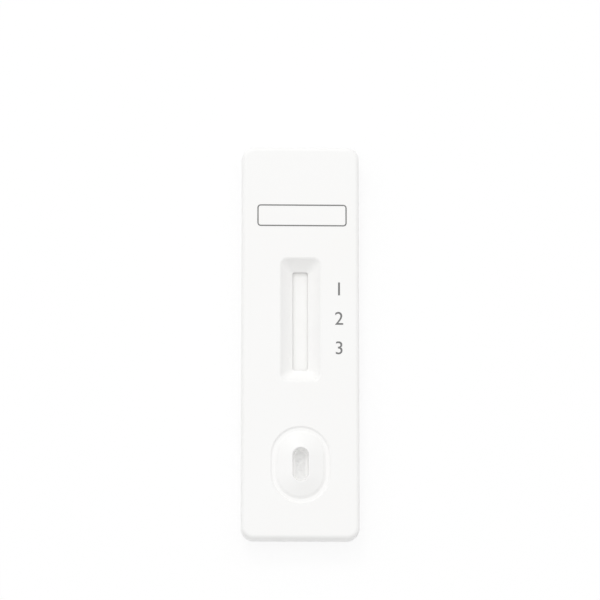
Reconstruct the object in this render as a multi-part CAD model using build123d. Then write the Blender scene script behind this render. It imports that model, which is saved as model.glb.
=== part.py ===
from build123d import *
from math import atan2, degrees
import os

# Lateral flow cassette: two press-fitted moulded shells around a layered test strip.
# X runs across the cassette, Y runs along it towards the head end, Z points up.
# The origin is on the underside, in the middle. All sizes are in millimetres.

os.makedirs("parts", exist_ok=True)

# Case
case_length = 70.0
case_width = 20.8
face_height = 4.5
parting_height = 2.2
corner_radius = 2.2
wall_thickness = 1.2
floor_thickness = 1.0
roof_thickness = 1.1
side_draft = 2.5
face_edge_radius = 0.8
base_edge_chamfer = 0.4
seam_chamfer = 0.1
smallest_radius = 0.3

# Tongue of the lower rim, inside the upper rim
tongue_height = 0.5
tongue_width = 0.5
rim_clearance = 0.05

# Press pins and their sockets
pin_rows = 4
pin_end_inset = 4.3
pin_diameter = 1.5
pin_shoulder_diameter = 2.3
pin_tip_chamfer = 0.25
pin_clearance = 0.03
pin_end_clearance = 0.3
socket_diameter = 3.0
socket_height = 1.5
socket_wall_gap = 0.4
socket_mouth_chamfer = 0.2
web_thickness = 0.8

# Test strip
strip_width = 4.0
strip_end_gap = 5.0
card_thickness = 0.3
membrane_thickness = 0.2
membrane_margin = 3.7
conjugate_length = 8.0
conjugate_thickness = 0.35
sample_pad_thickness = 1.5
sample_lap_thickness = 0.9
absorbent_thickness = 0.9
membrane_overlap = 1.6
sample_overlap = 2.0
pad_ramp = 0.5

# Channel that holds the strip
bed_height = 0.35
bed_ribs_sample_end = 5
bed_ribs_head_end = 4
rib_thickness = 0.8
rail_thickness = 0.8
rail_height = 1.4
rail_lead_in = 0.2
strip_clearance = 0.1
strip_end_clearance = 0.2
shell_gap = 0.2

# Read window
window_centre = 38.9
window_width = 2.75
window_length = 17.6
window_corner_radius = 0.45
window_wall_run = 2.2
mouth_corner_radius = 1.3
mouth_edge_break = 0.12
window_lip = 0.4
frame_wall = 0.8

# Sample well
well_centre = 13.15
well_straight = 3.12
slot_width = 2.92
slot_draft_run = 0.36
slot_ledge = 0.24
throat_height = 0.3
rim_land = 0.15
mound_height = 0.95
mound_foot_width = 8.9
mound_shoulder_height = 0.3
mound_shoulder_inset = 0.5
mound_wall = 1.1
moat_depth = 0.28
moat_width = 9.9
moat_bank_run = 0.33
collar_wall = 0.8

# Heights that follow from the stack
roof_underside = face_height - roof_thickness
roof_middle = face_height - roof_thickness / 2
bed_top = floor_thickness + bed_height
card_top = bed_top + card_thickness
membrane_top = card_top + membrane_thickness
frame_bottom = membrane_top + shell_gap
lip_top = frame_bottom + window_lip
collar_bottom = card_top + sample_pad_thickness
throat_top = collar_bottom + throat_height
moat_floor = face_height - moat_depth
rim_top = moat_floor + mound_height
socket_top = floor_thickness + socket_height
rail_top = floor_thickness + rail_height

# Places along the case
foot_end = -case_length / 2
window_y = foot_end + window_centre
well_y = foot_end + well_centre
strip_start = foot_end + strip_end_gap
strip_end = case_length / 2 - strip_end_gap
membrane_start = window_y - window_length / 2 - membrane_margin
membrane_end = window_y + window_length / 2 + membrane_margin
conjugate_start = membrane_start + membrane_overlap - conjugate_length
conjugate_end = membrane_start + membrane_overlap
sample_pad_end = conjugate_start + sample_overlap
absorbent_start = membrane_end - membrane_overlap

# Places across the case
pin_x = case_width / 2 - wall_thickness - socket_wall_gap - socket_diameter / 2
rail_inner = strip_width / 2 + strip_clearance
rail_outer = rail_inner + rail_thickness


def case_outline(inset):
    """Rounded outline of the case, drawn in from its edge."""
    radius = max(corner_radius - inset, smallest_radius)
    return RectangleRounded(case_width - 2 * inset, case_length - 2 * inset, radius)


def case_prism(inset, bottom, top):
    """Upright block of the case outline between two heights."""
    return extrude(Pos(0, 0, bottom) * case_outline(inset), top - bottom)


def block(width, start, end, bottom, top):
    """Box centred across the case, between two places and two heights."""
    middle = Pos(0, (start + end) / 2, (bottom + top) / 2)
    return middle * Box(width, end - start, top - bottom)


def tapered(outline, height, run):
    """Solid that draws in by a run over its height, or spreads by a negative one."""
    return extrude(outline, height, taper=degrees(atan2(run, height)))


def ruled(lower, upper):
    """Solid with straight walls from one outline to the one above it."""
    return loft([lower.face(), upper.face()], ruled=True)


def pin_places():
    """Centres of the press pins, in two rows along the sides."""
    spacing = (case_length - 2 * pin_end_inset) / (pin_rows - 1)
    return GridLocations(2 * pin_x, spacing, 2, pin_rows)


# Window

def funnel_section(z, grow):
    """Section of the window funnel at a height, drawn out by a wall."""
    share = (z - lip_top) / (face_height - lip_top)
    spread = 2 * (window_wall_run * share + grow)
    radius = window_corner_radius + (mouth_corner_radius - window_corner_radius) * share
    outline = RectangleRounded(window_width + spread, window_length + spread, radius + grow)
    return Pos(0, window_y, z) * outline


def window_cut():
    """Funnel from the face down to the lip, and the opening below it."""
    break_foot = face_height - mouth_edge_break
    funnel = ruled(funnel_section(lip_top, 0), funnel_section(break_foot, 0))
    funnel += ruled(funnel_section(break_foot, 0), funnel_section(face_height, mouth_edge_break))
    return funnel + extrude(funnel_section(lip_top, 0), frame_bottom - lip_top)


def window_frame():
    """Wall under the funnel, from the roof down to just above the membrane."""
    skirt = funnel_section(lip_top, frame_wall)
    sloped = ruled(skirt, funnel_section(roof_middle, frame_wall))
    return sloped + extrude(skirt, frame_bottom - lip_top)


# Sample well

def oval(width, z):
    """Flat outline with half-round ends, centred on the well and lying along the case."""
    return Pos(0, well_y, z) * SlotCenterToCenter(well_straight, width, rotation=90)


def mound():
    """Raised oval that climbs steeply from the moat floor, then gently to the rim."""
    shoulder_width = mound_foot_width - 2 * mound_shoulder_inset
    shoulder_z = moat_floor + mound_shoulder_height
    run = (shoulder_width - slot_width) / 2 - rim_land
    flank = tapered(oval(mound_foot_width, moat_floor), mound_shoulder_height, mound_shoulder_inset)
    return flank + tapered(oval(shoulder_width, shoulder_z), rim_top - shoulder_z, run)


def moat():
    """Shallow oval recess round the mound, with a sloped bank."""
    return tapered(oval(moat_width, moat_floor), moat_depth, -moat_bank_run)


def well_collar():
    """Tube under the mound that presses on the sample pad."""
    height = rim_top - mound_wall / 2 - collar_bottom
    return extrude(oval(slot_width + 2 * collar_wall, collar_bottom), height)


def well_cut():
    """Drafted slot, the narrow ledge at its foot and the throat over the sample pad."""
    lower_width = slot_width - 2 * slot_draft_run
    throat = extrude(oval(lower_width - 2 * slot_ledge, collar_bottom), throat_height)
    return throat + tapered(oval(lower_width, throat_top), rim_top - throat_top, -slot_draft_run)


# Upper shell

def upper_body():
    """Open box with drafted sides, a rounded face edge and a rim rebate."""
    rim = Pos(0, 0, parting_height) * case_outline(0)
    body = extrude(rim, face_height - parting_height, taper=side_draft)
    body = fillet(body.edges().group_by(Axis.Z)[-1], face_edge_radius)
    body = chamfer(body.edges().group_by(Axis.Z)[0], seam_chamfer)
    rebate_inset = wall_thickness - tongue_width - rim_clearance
    rebate_top = parting_height + tongue_height + rim_clearance
    body -= case_prism(wall_thickness, parting_height, roof_underside)
    return body - case_prism(rebate_inset, parting_height, rebate_top)


def press_pin():
    """Pin with a chamfered tip below a wider shoulder that stands on the socket."""
    tip = floor_thickness + pin_end_clearance
    shank = extrude(Pos(0, 0, tip) * Circle(pin_diameter / 2), roof_middle - tip)
    shank = chamfer(shank.edges().group_by(Axis.Z)[0], pin_tip_chamfer)
    seat = Pos(0, 0, socket_top) * Circle(pin_shoulder_diameter / 2)
    return shank + extrude(seat, roof_middle - socket_top)


def pressing_ribs():
    """Bars under the roof that press the pads together where they overlap."""
    width = strip_width - 2 * strip_clearance
    double_sample = card_top + conjugate_thickness + sample_lap_thickness
    double_conjugate = membrane_top + conjugate_thickness
    double_absorbent = membrane_top + absorbent_thickness
    absorbent_top = card_top + absorbent_thickness
    absorbent_middle = (membrane_end + strip_end) / 2
    seats = [
        ((conjugate_start + sample_pad_end) / 2, double_sample),
        ((membrane_start + conjugate_end) / 2, double_conjugate),
        ((absorbent_start + membrane_end) / 2, double_absorbent),
        (absorbent_middle, absorbent_top),
    ]
    half = rib_thickness / 2
    return [block(width, y - half, y + half, seat, roof_middle) for y, seat in seats]


def upper_shell():
    shell = upper_body() - moat()
    shell += mound()
    shell -= Pos(0, 0, -mound_wall) * mound()
    shell += well_collar()
    shell += window_frame()
    for rib in pressing_ribs():
        shell += rib
    for place in pin_places():
        shell += place * press_pin()
    return shell - window_cut() - well_cut()


# Lower shell

def lower_body():
    """Open tray with drafted sides, a chamfered base edge and the tongue on its rim."""
    rim = Pos(0, 0, parting_height) * case_outline(0)
    body = extrude(rim, -parting_height, taper=side_draft)
    body = chamfer(body.edges().group_by(Axis.Z)[0], base_edge_chamfer)
    body = chamfer(body.edges().group_by(Axis.Z)[-1], seam_chamfer)
    tongue_inset = wall_thickness - tongue_width
    tongue_top = parting_height + tongue_height
    body += case_prism(tongue_inset, floor_thickness, tongue_top)
    return body - case_prism(wall_thickness, floor_thickness, tongue_top)


def pin_boss():
    """Round boss on the floor for one pin."""
    base = Pos(0, 0, floor_thickness) * Circle(socket_diameter / 2)
    return extrude(base, socket_height)


def pin_bore():
    """Bore down to the floor, with a wider mouth that guides the pin in."""
    radius = pin_diameter / 2 + pin_clearance
    bore = extrude(Pos(0, 0, floor_thickness) * Circle(radius), socket_height)
    mouth = Pos(0, 0, socket_top - socket_mouth_chamfer) * Circle(radius)
    return bore + tapered(mouth, socket_mouth_chamfer, -socket_mouth_chamfer)


def socket_web(place):
    """Rib that ties a socket to the side wall beside it."""
    x, y = place.position.X, place.position.Y
    wall_x = case_width / 2 - wall_thickness
    length = wall_x - pin_x
    centre_x = (wall_x + pin_x) / 2 if x > 0 else -(wall_x + pin_x) / 2
    height = parting_height - floor_thickness
    return Pos(centre_x, y, floor_thickness + height / 2) * Box(length, web_thickness, height)


def lead_in(side):
    """Wedge cut from the inner top edge of a rail, so that the strip drops in."""
    section = Polyline(
        (side * rail_inner, rail_top - rail_lead_in),
        (side * (rail_inner + rail_lead_in), rail_top),
        (side * rail_inner, rail_top),
        close=True,
    )
    profile = Plane.XZ * make_face(section)
    return extrude(profile, case_length / 2, both=True)


def strip_channel():
    """Two rails joined by an end stop at each end, lowered where the cover reaches down."""
    start = strip_start - strip_end_clearance
    end = strip_end + strip_end_clearance
    foot, head = start - rail_thickness, end + rail_thickness
    channel = block(2 * rail_outer, foot, head, floor_thickness, rail_top)
    channel -= block(2 * rail_inner, start, end, floor_thickness, rail_top)
    channel = channel - lead_in(1) - lead_in(-1)
    frame_reach = window_length / 2 + frame_wall + shell_gap
    return channel - block(case_width, window_y - frame_reach, window_y + frame_reach,
                           frame_bottom - shell_gap, face_height)


def strip_bed():
    """Low platform under the membrane and cross ribs under the pads at each end."""
    bed = block(2 * rail_outer, membrane_start, membrane_end, floor_thickness, bed_top)
    for y in rib_places(strip_start, membrane_start, bed_ribs_sample_end):
        bed += block(2 * rail_outer, y, y + rib_thickness, floor_thickness, bed_top)
    for y in rib_places(membrane_end, strip_end, bed_ribs_head_end):
        bed += block(2 * rail_outer, y, y + rib_thickness, floor_thickness, bed_top)
    return bed


def rib_places(start, end, count):
    """Near edges of the ribs that share out the space between two places."""
    gap = (end - start - count * rib_thickness) / (count + 1)
    return [start + gap + index * (gap + rib_thickness) for index in range(count)]


def lower_shell():
    shell = lower_body() + strip_channel() + strip_bed()
    for place in pin_places():
        shell += socket_web(place)
    for place in pin_places():
        shell += place * pin_boss()
    for place in pin_places():
        shell -= place * pin_bore()
    return shell


# Test strip

def strip_block(start, end, bottom, thickness):
    """Flat layer of the strip between two places along it."""
    return block(strip_width, start, end, bottom, bottom + thickness)


def draped_pad(free_end, lap_start, lap_end, thickness, lap_height, lap_thickness):
    """Pad that lies on the card and climbs over the end of the layer that it laps."""
    inward = 1 if lap_end > free_end else -1
    ramp_start = lap_start - inward * pad_ramp
    top, lap_top = card_top + thickness, card_top + lap_height + lap_thickness
    section = Polyline(
        (free_end, card_top),
        (lap_start, card_top),
        (lap_start, card_top + lap_height),
        (lap_end, card_top + lap_height),
        (lap_end, lap_top),
        (lap_start, lap_top),
        (ramp_start, top),
        (free_end, top),
        close=True,
    )
    return extrude(Plane.YZ * make_face(section), strip_width / 2, both=True)


def backing_card():
    return strip_block(strip_start, strip_end, bed_top, card_thickness)


def nitrocellulose_membrane():
    return strip_block(membrane_start, membrane_end, card_top, membrane_thickness)


def conjugate_pad():
    return draped_pad(conjugate_start, membrane_start, conjugate_end, conjugate_thickness,
                      membrane_thickness, conjugate_thickness)


def sample_pad():
    """Thick pad under the well, pressed thinner by a rib where it laps the conjugate pad."""
    return draped_pad(strip_start, conjugate_start, sample_pad_end, sample_pad_thickness,
                      conjugate_thickness, sample_lap_thickness)


def absorbent_pad():
    return draped_pad(strip_end, membrane_end, absorbent_start, absorbent_thickness,
                      membrane_thickness, absorbent_thickness)


def write(node, shape):
    """Save one named piece."""
    shape.label = node
    export_step(shape, f"parts/{node}.step")


write("upper_shell", upper_shell())
write("lower_shell", lower_shell())
write("backing_card", backing_card())
write("nitrocellulose_membrane", nitrocellulose_membrane())
write("conjugate_pad", conjugate_pad())
write("sample_pad", sample_pad())
write("absorbent_pad", absorbent_pad())
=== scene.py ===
import bmesh
import bpy
import math
from mathutils import Matrix, Vector


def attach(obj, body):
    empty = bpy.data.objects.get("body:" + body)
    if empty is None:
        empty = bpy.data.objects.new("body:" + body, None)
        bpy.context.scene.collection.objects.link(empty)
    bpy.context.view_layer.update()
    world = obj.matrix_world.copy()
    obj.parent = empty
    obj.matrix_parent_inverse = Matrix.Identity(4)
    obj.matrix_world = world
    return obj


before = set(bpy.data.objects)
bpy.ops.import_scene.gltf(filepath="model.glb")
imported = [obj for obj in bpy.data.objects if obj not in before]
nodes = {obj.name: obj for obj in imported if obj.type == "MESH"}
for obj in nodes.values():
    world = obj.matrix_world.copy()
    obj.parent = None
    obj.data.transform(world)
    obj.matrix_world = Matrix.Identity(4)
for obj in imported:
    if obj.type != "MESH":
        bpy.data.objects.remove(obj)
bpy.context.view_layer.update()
mm = 0.001
print("frame loaded with", len(nodes), "nodes")


# Where things are on the case

places = {
    "wellBack": 21.85 * mm,  # from the middle of the case towards the foot end
    "plainSpot": (8.0 * mm, 0.0),  # a place on the bare face
    "above": 50 * mm,  # the rays that find a height start here
}


def topOf(name, x, y):  # height of a CAD node's upper side at one place
    start = Vector((x, y, places["above"]))
    _, spot, _, _ = nodes[name].ray_cast(start, Vector((0, 0, -1)))
    return spot.z


wellY = -places["wellBack"]
faceHeight = topOf("upper_shell", *places["plainSpot"])
padHeight = topOf("sample_pad", 0, wellY)
print(f"face at {faceHeight / mm:.2f} mm, pad in the well at {padHeight / mm:.2f} mm")


# Camera

cameraPlan = {
    "tilt": 10.0,  # degrees off straight down, towards the foot end
    "side": -1.85,  # degrees off straight down, minus is to the left
    "distance": 650 * mm,
    "pixelsPerMetre": 5678,
    "frameSide": 600,  # pixels
    "sensor": 36.0,  # in millimetres, as the camera's own setting
    "nearest": 10 * mm,
    "aim": (-0.11 * mm, 7.35 * mm),
}


def makeCamera(plan):
    data = bpy.data.cameras.new("overheadCamera")
    camera = bpy.data.objects.new("overheadCamera", data)
    bpy.context.scene.collection.objects.link(camera)
    target = Vector((*plan["aim"], faceHeight))
    lean = math.tan(math.radians(plan["side"]))
    slant = math.tan(math.radians(plan["tilt"]))
    back = Vector((lean, -slant, 1)).normalized()
    right = Vector((0, 1, 0)).cross(back).normalized()
    turn = Matrix((right, back.cross(right), back)).transposed()
    camera.matrix_world = Matrix.Translation(target + back * plan["distance"]) @ turn.to_4x4()
    data.sensor_width = plan["sensor"]
    data.lens = plan["pixelsPerMetre"] * plan["distance"] * plan["sensor"] / plan["frameSide"]
    data.clip_start = plan["nearest"]
    bpy.context.scene.camera = camera


makeCamera(cameraPlan)
print("camera placed")


# Helpers for node trees

class Knot:  # a socket in a node tree, with the sums that can be done on it
    def __init__(self, tree, socket=None):
        self.tree = tree
        self.socket = socket

    def node(self, kind, settings, sockets, out=0):
        made = self.tree.nodes.new(kind)
        for name, value in settings.items():
            setattr(made, name, value)
        for key, value in sockets.items():
            if isinstance(value, Knot):
                self.tree.links.new(value.socket, made.inputs[key])
            else:
                made.inputs[key].default_value = value
        return Knot(self.tree, made.outputs[out])

    def sums(self, operation, first, second):
        return self.node("ShaderNodeMath", {"operation": operation}, {0: first, 1: second})

    def __add__(self, other):
        return self.sums("ADD", self, other)

    def __radd__(self, other):
        return self.sums("ADD", other, self)

    def __sub__(self, other):
        return self.sums("SUBTRACT", self, other)

    def __rsub__(self, other):
        return self.sums("SUBTRACT", other, self)

    def __mul__(self, other):
        return self.sums("MULTIPLY", self, other)

    def __rmul__(self, other):
        return self.sums("MULTIPLY", other, self)


def spotOn(graph, stretch=(1, 1, 1)):
    where = graph.node("ShaderNodeTexCoord", {}, {}, out="Object")
    return graph.node("ShaderNodeMapping", {}, {"Vector": where, "Scale": stretch})


def noiseOf(graph, spot, size, detail=2.0, rough=0.5):  # size is that of one blotch, in metres
    return graph.node("ShaderNodeTexNoise", {}, {
        "Vector": spot, "Scale": 1 / size, "Detail": detail, "Roughness": rough})


def blendOf(graph, share, first, second):
    colours = {0: share, 6: first, 7: second}
    return graph.node("ShaderNodeMix", {"data_type": "RGBA"}, colours, out=2)


def reliefOf(graph, height, depth=1.0):
    return graph.node("ShaderNodeBump", {}, {"Strength": 1.0, "Distance": depth, "Height": height})


def dotOf(graph, first, second):
    return graph.node("ShaderNodeVectorMath", {"operation": "DOT_PRODUCT"}, {0: first, 1: second}, out=1)


# 1 for the rays that show the white surroundings, 0 for those that light the object
def rayKinds(graph):
    path = graph.tree.nodes.new("ShaderNodeLightPath")
    camera, glossy, through = [Knot(graph.tree, path.outputs[kind]) for kind in (
        "Is Camera Ray", "Is Glossy Ray", "Is Transmission Ray")]
    return graph.sums("MAXIMUM", graph.sums("MAXIMUM", camera, glossy), through)


def startMaterial(name, constants):
    material = bpy.data.materials.new(name)
    material.use_nodes = True
    shader = material.node_tree.nodes["Principled BSDF"]
    for key, value in constants.items():
        shader.inputs[key].default_value = value
    return material, shader, Knot(material.node_tree)


def feed(graph, shader, links):
    for name, knot in links.items():
        graph.tree.links.new(knot.socket, shader.inputs[name])


# Light

lightPlan = {
    "around": 0.92,  # strength of the soft light from all sides
    "lean": (-0.09, 0.27, 0.1),  # how much brighter it is from the left, the head end and above
    "horizon": 0.5,  # height in the sky below which it dims
    "dim": 0.2,  # what is left of it at the horizon
    "keyShare": 0.07,  # what the lamp adds on a level face
    "keyFrom": (-0.2, 0.7, 0.72),  # from the head end, a little from the left
    "keyDistance": 1.2,  # metres
    "keySize": 0.3,
}


def makeWorld(plan):
    world = bpy.data.worlds.new("studio")
    bpy.context.scene.world = world
    world.use_nodes = True
    world.node_tree.nodes.clear()
    graph = Knot(world.node_tree)
    seen = rayKinds(graph)
    heading = graph.node("ShaderNodeTexCoord", {}, {}, out="Generated")
    lean = dotOf(graph, heading, plan["lean"])
    height = dotOf(graph, heading, (0, 0, 1))
    rise = graph.node("ShaderNodeMapRange", {"interpolation_type": "SMOOTHSTEP"}, {
        "Value": height, "From Min": 0.0, "From Max": plan["horizon"],
        "To Min": plan["dim"], "To Max": 1.0})
    strength = (plan["around"] + lean) * rise * (1 - seen) + seen
    light = graph.node("ShaderNodeBackground", {}, {"Color": (1, 1, 1, 1), "Strength": strength})
    output = world.node_tree.nodes.new("ShaderNodeOutputWorld")
    world.node_tree.links.new(light.socket, output.inputs["Surface"])


def makeKey(plan):
    direction = Vector(plan["keyFrom"]).normalized()
    data = bpy.data.lights.new("softKey", "AREA")
    data.shape = "DISK"
    data.size = plan["keySize"]
    data.energy = plan["keyShare"] * math.pi ** 2 * plan["keyDistance"] ** 2 / direction.z
    lamp = bpy.data.objects.new("softKey", data)
    lamp.location = direction * plan["keyDistance"]
    lamp.rotation_mode = "QUATERNION"
    lamp.rotation_quaternion = direction.to_track_quat("Z", "Y")
    bpy.context.scene.collection.objects.link(lamp)


makeWorld(lightPlan)
makeKey(lightPlan)
bpy.context.scene.view_settings.view_transform = "Standard"
print("light set")


# Floor

floorPlan = {
    "side": 3.0,  # metres
    "below": 0.02 * mm,  # a hair under the underside, so that the two don't share a plane
    "white": (1, 1, 1, 1),
    "bounce": (0.95, 0.95, 0.95, 1),  # what it gives back to the object
    "evenness": 0.8,  # share of plain white in what is seen of it, which fades the shadow
    "rough": 0.9,
}


def makeFloor(plan):
    half = plan["side"] / 2
    outline = ((-half, -half), (half, -half), (half, half), (-half, half))
    mesh = bpy.data.meshes.new("floor")
    mesh.from_pydata([(x, y, -plan["below"]) for x, y in outline], [], [(0, 1, 2, 3)])
    floor = bpy.data.objects.new("floor", mesh)
    bpy.context.scene.collection.objects.link(floor)
    material, shader, graph = startMaterial("floorWhite", {
        "Roughness": plan["rough"], "Specular IOR Level": 0.0})
    seen = rayKinds(graph)
    feed(graph, shader, {"Base Color": blendOf(graph, seen, plan["bounce"], plan["white"])})
    glow = graph.node("ShaderNodeEmission", {}, {"Color": plan["white"], "Strength": 1.0})
    matt = Knot(graph.tree, shader.outputs[0])
    surface = graph.node("ShaderNodeMixShader", {}, {0: seen * plan["evenness"], 1: matt, 2: glow})
    graph.tree.links.new(surface.socket, graph.tree.nodes["Material Output"].inputs["Surface"])
    mesh.materials.append(material)


makeFloor(floorPlan)
print("floor set")


# Plastic of the two shells

shellLook = {
    "white": (0.95, 0.95, 0.946, 1),
    "cream": (0.94, 0.934, 0.92, 1),
    "patch": 16 * mm,  # size of the blotches of the two tones
    "sparkSize": 0.16 * mm,  # grain left by the mould's etched face
    "sparkDepth": 0.0022 * mm,
    "rippleSize": 3.5 * mm,
    "rippleDepth": 0.004 * mm,
    "rough": 0.4,
    "roughSwing": 0.14,
    "refraction": 1.55,
}


def makeShellPlastic(look):
    material, shader, graph = startMaterial("satinWhitePlastic", {"IOR": look["refraction"]})
    spot = spotOn(graph)
    tone = noiseOf(graph, spot, look["patch"], detail=3.0)
    spark = noiseOf(graph, spot, look["sparkSize"], detail=3.0, rough=0.6)
    ripple = noiseOf(graph, spot, look["rippleSize"])
    height = spark * look["sparkDepth"] + ripple * look["rippleDepth"]
    feed(graph, shader, {
        "Base Color": blendOf(graph, tone, look["white"], look["cream"]),
        "Roughness": look["rough"] + (spark - 0.5) * look["roughSwing"],
        "Normal": reliefOf(graph, height),
    })
    return material


# Plastic of the card that carries the strip

cardLook = {
    "white": (0.86, 0.87, 0.88, 1),
    "grey": (0.82, 0.83, 0.85, 1),
    "streak": 0.5 * mm,
    "run": 0.1,  # the smaller, the longer the streaks
    "depth": 0.003 * mm,
    "rough": 0.3,
    "roughSwing": 0.2,
    "refraction": 1.5,
}


def makeCardPlastic(look):
    material, shader, graph = startMaterial("whiteCard", {"IOR": look["refraction"]})
    streak = noiseOf(graph, spotOn(graph, (1, look["run"], 1)), look["streak"], detail=3.0)
    feed(graph, shader, {
        "Base Color": blendOf(graph, streak, look["white"], look["grey"]),
        "Roughness": look["rough"] + streak * look["roughSwing"],
        "Normal": reliefOf(graph, streak, look["depth"]),
    })
    return material


# Membrane in the window

membraneLook = {
    "white": (0.95, 0.95, 0.945, 1),
    "warm": (0.93, 0.925, 0.905, 1),
    "patch": 2.5 * mm,
    "pore": 0.09 * mm,
    "poreShare": 0.5,  # how much of the colour follows the pores
    "depth": 0.004 * mm,
    "rough": 0.75,
    "roughSwing": 0.2,
    "shine": 0.25,
}


def makeMembrane(look):
    material, shader, graph = startMaterial("porousMembrane", {"Specular IOR Level": look["shine"]})
    spot = spotOn(graph)
    tone = noiseOf(graph, spot, look["patch"])
    pore = noiseOf(graph, spot, look["pore"], detail=4.0, rough=0.7)
    mix = tone * (1 - look["poreShare"]) + pore * look["poreShare"]
    feed(graph, shader, {
        "Base Color": blendOf(graph, mix, look["white"], look["warm"]),
        "Roughness": look["rough"] + pore * look["roughSwing"],
        "Normal": reliefOf(graph, pore, look["depth"]),
    })
    return material


# Felts of the pads

cottonLook = {
    "light": (0.97, 0.97, 0.965, 1),
    "dark": (0.91, 0.91, 0.9, 1),
    "fibre": 0.07 * mm,
    "run": 0.12,  # the smaller, the longer the fibres
    "clump": 0.63 * mm,
    "clumpShare": 0.4,  # how much of the colour follows the clumps
    "depth": 0.02 * mm,
    "rough": 0.85,
    "roughSwing": 0.1,
    "shine": 0.2,
}

glassLook = {
    "light": (0.86, 0.84, 0.82, 1),
    "dark": (0.78, 0.75, 0.72, 1),
    "fibre": 0.05 * mm,
    "run": 0.08,
    "clump": 0.45 * mm,
    "clumpShare": 0.4,
    "depth": 0.015 * mm,
    "rough": 0.85,
    "roughSwing": 0.1,
    "shine": 0.2,
}


def makeFelt(name, look):
    material, shader, graph = startMaterial(name, {"Specular IOR Level": look["shine"]})
    run = look["run"]
    along = noiseOf(graph, spotOn(graph, (1, run, 1)), look["fibre"])
    across = noiseOf(graph, spotOn(graph, (run, 1, 1)), look["fibre"])
    clump = noiseOf(graph, spotOn(graph), look["clump"])
    fibre = graph.sums("MAXIMUM", along, across)
    mix = fibre * (1 - look["clumpShare"]) + clump * look["clumpShare"]
    feed(graph, shader, {
        "Base Color": blendOf(graph, mix, look["dark"], look["light"]),
        "Roughness": look["rough"] + fibre * look["roughSwing"],
        "Normal": reliefOf(graph, fibre, look["depth"]),
    })
    return material


def dress(names, material):
    for name in names:
        nodes[name].data.materials.clear()
        nodes[name].data.materials.append(material)


cottonFelt = makeFelt("cottonFelt", cottonLook)
dress(("upper_shell", "lower_shell"), makeShellPlastic(shellLook))
dress(("backing_card",), makeCardPlastic(cardLook))
dress(("nitrocellulose_membrane",), makeMembrane(membraneLook))
dress(("conjugate_pad",), makeFelt("glassFelt", glassLook))
dress(("sample_pad", "absorbent_pad"), cottonFelt)
print("materials on the nodes")


# Printed marks on the face

inkLook = {
    "grey": (0.165, 0.165, 0.165, 1),
    "worn": (0.22, 0.22, 0.22, 1),
    "speckle": 0.12 * mm,
    "film": 0.02 * mm,  # thickness of the ink
    "rough": 0.4,
    "roughSwing": 0.25,
    "refraction": 1.45,
}


def makeInk(look):
    material, shader, graph = startMaterial("greyInk", {"IOR": look["refraction"]})
    speckle = noiseOf(graph, spotOn(graph), look["speckle"], detail=3.0, rough=0.6)
    feed(graph, shader, {
        "Base Color": blendOf(graph, speckle, look["grey"], look["worn"]),
        "Roughness": look["rough"] + speckle * look["roughSwing"],
    })
    return material


def placeMesh(name, mesh, material, offset=(0, 0, 0)):
    mesh.transform(Matrix.Translation(offset))
    piece = bpy.data.objects.new(name, mesh)
    bpy.context.scene.collection.objects.link(piece)
    piece.data.materials.clear()
    piece.data.materials.append(material)
    return piece


numberPlan = {
    "figures": "123",
    "height": 2.3 * mm,
    "x": 6.77 * mm,
    "first": 9.37 * mm,  # place of the 1 along the case
    "step": -5.26 * mm,
}


def makeFigure(figure, plan, y, material):
    curve = bpy.data.curves.new("figure", "FONT")
    curve.body = figure
    curve.align_x = "CENTER"
    curve.extrude = 0.5  # any thickness, as it is brought to the film's below
    text = bpy.data.objects.new("figure", curve)
    bpy.context.scene.collection.objects.link(text)
    mesh = bpy.data.meshes.new_from_object(text)
    bpy.data.objects.remove(text)
    low = Vector([min(v.co[axis] for v in mesh.vertices) for axis in range(3)])
    high = Vector([max(v.co[axis] for v in mesh.vertices) for axis in range(3)])
    mesh.transform(Matrix.Translation(-Vector(((low.x + high.x) / 2, (low.y + high.y) / 2, low.z))))
    scale = plan["height"] / (high.y - low.y)
    mesh.transform(Matrix.Diagonal((scale, scale, inkLook["film"] / (high.z - low.z), 1)))
    return placeMesh("figure" + figure, mesh, material, (plan["x"], y, faceHeight))


fieldPlan = {  # the bare frame that is left for writing in
    "x": 0.25 * mm,
    "y": 22.55 * mm,
    "width": 15.8 * mm,
    "height": 3.9 * mm,
    "radius": 0.6 * mm,
    "line": 0.22 * mm,
    "cornerSteps": 8,
}


def roundedLoop(width, height, radius, steps):
    points = []
    for corner, (sideX, sideY) in enumerate(((1, 1), (-1, 1), (-1, -1), (1, -1))):
        for step in range(steps + 1):
            angle = math.radians(90 * (corner + step / steps))
            points.append((sideX * (width / 2 - radius) + radius * math.cos(angle),
                           sideY * (height / 2 - radius) + radius * math.sin(angle)))
    return points


def makeField(plan, material):
    line = plan["line"]
    film = inkLook["film"]
    outer = roundedLoop(plan["width"], plan["height"], plan["radius"], plan["cornerSteps"])
    inner = roundedLoop(plan["width"] - 2 * line, plan["height"] - 2 * line,
                        plan["radius"] - line, plan["cornerSteps"])
    levels = ((outer, 0), (outer, film), (inner, film), (inner, 0))
    shape = bmesh.new()
    rings = [[shape.verts.new((x, y, z)) for x, y in loop] for loop, z in levels]
    count = len(outer)
    for ring, nextRing in zip(rings, rings[1:] + rings[:1]):
        for index in range(count):
            after = (index + 1) % count
            shape.faces.new((ring[index], ring[after], nextRing[after], nextRing[index]))
    mesh = bpy.data.meshes.new("writingField")
    shape.to_mesh(mesh)
    shape.free()
    return placeMesh("writingField", mesh, material, (plan["x"], plan["y"], faceHeight))


greyInk = makeInk(inkLook)
for index, figure in enumerate(numberPlan["figures"]):
    figureY = numberPlan["first"] + index * numberPlan["step"]
    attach(makeFigure(figure, numberPlan, figureY, greyInk), "root")
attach(makeField(fieldPlan, greyInk), "root")
print("figures and writing field printed")


# Loose fibres on the pad in the well

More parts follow.
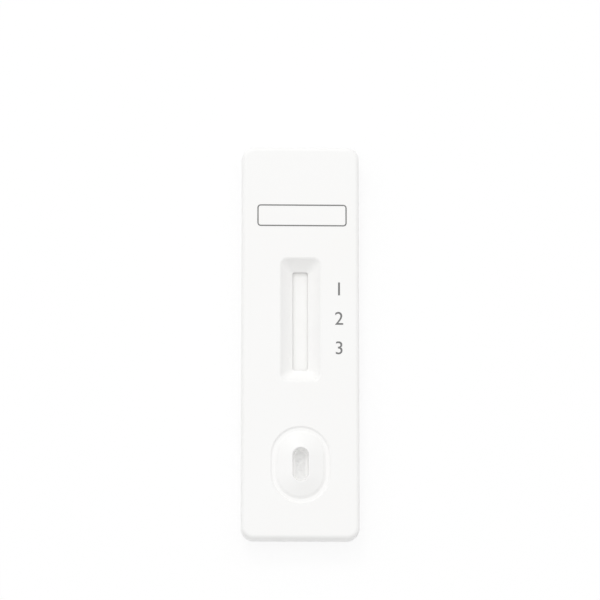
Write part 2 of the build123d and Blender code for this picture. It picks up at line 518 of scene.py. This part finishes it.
fluffPlan = {
    "width": 1.5 * mm,  # of the patch that shows in the throat
    "length": 4.6 * mm,
    "easing": 0.01 * mm,  # what the patch's corner radius lacks of half its width
    "cornerSteps": 8,
    "perSquare": 40e6,  # fibres on a square metre
    "fibreLength": 0.45 * mm,
    "shortest": 0.6,  # as a share of that length
    "longest": 1.1,
    "fibreRadius": 0.007 * mm,
    "fibreSides": 3,
    "bend": 0.12 * mm,
    "bendSteps": 5,
    "lift": 0.04 * mm,
    "tip": 0.05,  # radians that a fibre may tip out of level
    "seed": 7,
}


def makeFluffTree(plan):
    tree = bpy.data.node_groups.new("looseFibres", "GeometryNodeTree")
    sockets = tree.interface
    sockets.new_socket("Geometry", in_out="INPUT", socket_type="NodeSocketGeometry")
    for name in ("Fibres per square", "Fibre length", "Fibre radius", "Bend", "Lift"):
        sockets.new_socket(name, in_out="INPUT", socket_type="NodeSocketFloat")
    sockets.new_socket("Seed", in_out="INPUT", socket_type="NodeSocketInt")
    sockets.new_socket("Material", in_out="INPUT", socket_type="NodeSocketMaterial")
    sockets.new_socket("Geometry", in_out="OUTPUT", socket_type="NodeSocketGeometry")
    given = tree.nodes.new("NodeGroupInput")
    graph = Knot(tree)

    def asked(name):
        return Knot(tree, given.outputs[name])

    half = asked("Fibre length") * 0.5
    start = graph.node("ShaderNodeCombineXYZ", {}, {"X": half * -1})
    middle = graph.node("ShaderNodeCombineXYZ", {}, {"Y": asked("Bend"), "Z": asked("Lift")})
    end = graph.node("ShaderNodeCombineXYZ", {}, {"X": half})
    line = graph.node("GeometryNodeCurveQuadraticBezier", {}, {
        "Resolution": plan["bendSteps"], "Start": start, "Middle": middle, "End": end})
    profile = graph.node("GeometryNodeCurvePrimitiveCircle", {}, {
        "Resolution": plan["fibreSides"], "Radius": asked("Fibre radius")})
    fibre = graph.node("GeometryNodeCurveToMesh", {}, {
        "Curve": line, "Profile Curve": profile, "Fill Caps": True})
    points = graph.node("GeometryNodeDistributePointsOnFaces", {}, {
        "Mesh": asked("Geometry"), "Density": asked("Fibres per square"), "Seed": asked("Seed")})
    turn = graph.node("FunctionNodeRandomValue", {"data_type": "FLOAT_VECTOR"}, {
        "Min": (-plan["tip"], -plan["tip"], 0), "Max": (plan["tip"], plan["tip"], math.tau),
        "Seed": asked("Seed")})
    size = graph.node("FunctionNodeRandomValue", {"data_type": "FLOAT"}, {
        2: plan["shortest"], 3: plan["longest"], "Seed": asked("Seed")}, out=1)
    laid = graph.node("GeometryNodeInstanceOnPoints", {}, {
        "Points": points, "Instance": fibre, "Rotation": turn, "Scale": size})
    real = graph.node("GeometryNodeRealizeInstances", {}, {"Geometry": laid})
    dressed = graph.node("GeometryNodeSetMaterial", {}, {
        "Geometry": real, "Material": asked("Material")})
    output = tree.nodes.new("NodeGroupOutput")
    tree.links.new(dressed.socket, output.inputs["Geometry"])
    return tree


def runTree(name, baseMesh, tree, values):  # the evaluated result as a plain mesh
    base = bpy.data.objects.new(name, baseMesh)
    bpy.context.scene.collection.objects.link(base)
    modifier = base.modifiers.new("nodes", "NODES")
    modifier.node_group = tree
    for item in tree.interface.items_tree:
        if item.in_out == "INPUT" and item.name in values:
            modifier[item.identifier] = values[item.name]
    evaluated = base.evaluated_get(bpy.context.evaluated_depsgraph_get())
    mesh = bpy.data.meshes.new_from_object(evaluated)
    bpy.data.objects.remove(base)
    return mesh


def makeFluff(plan, material):
    radius = plan["width"] / 2 - plan["easing"]
    outline = roundedLoop(plan["width"], plan["length"], radius, plan["cornerSteps"])
    corners = [(x, wellY + y, padHeight) for x, y in outline]
    patch = bpy.data.meshes.new("padPatch")
    patch.from_pydata(corners, [], [tuple(range(len(corners)))])
    mesh = runTree("padPatch", patch, makeFluffTree(plan), {
        "Fibres per square": plan["perSquare"], "Fibre length": plan["fibreLength"],
        "Fibre radius": plan["fibreRadius"], "Bend": plan["bend"], "Lift": plan["lift"],
        "Seed": plan["seed"], "Material": material})
    print(len(mesh.polygons), "faces of loose fibre")
    return placeMesh("padFluff", mesh, material)


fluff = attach(makeFluff(fluffPlan, cottonFelt), "root")
print("fibres laid on the pad")
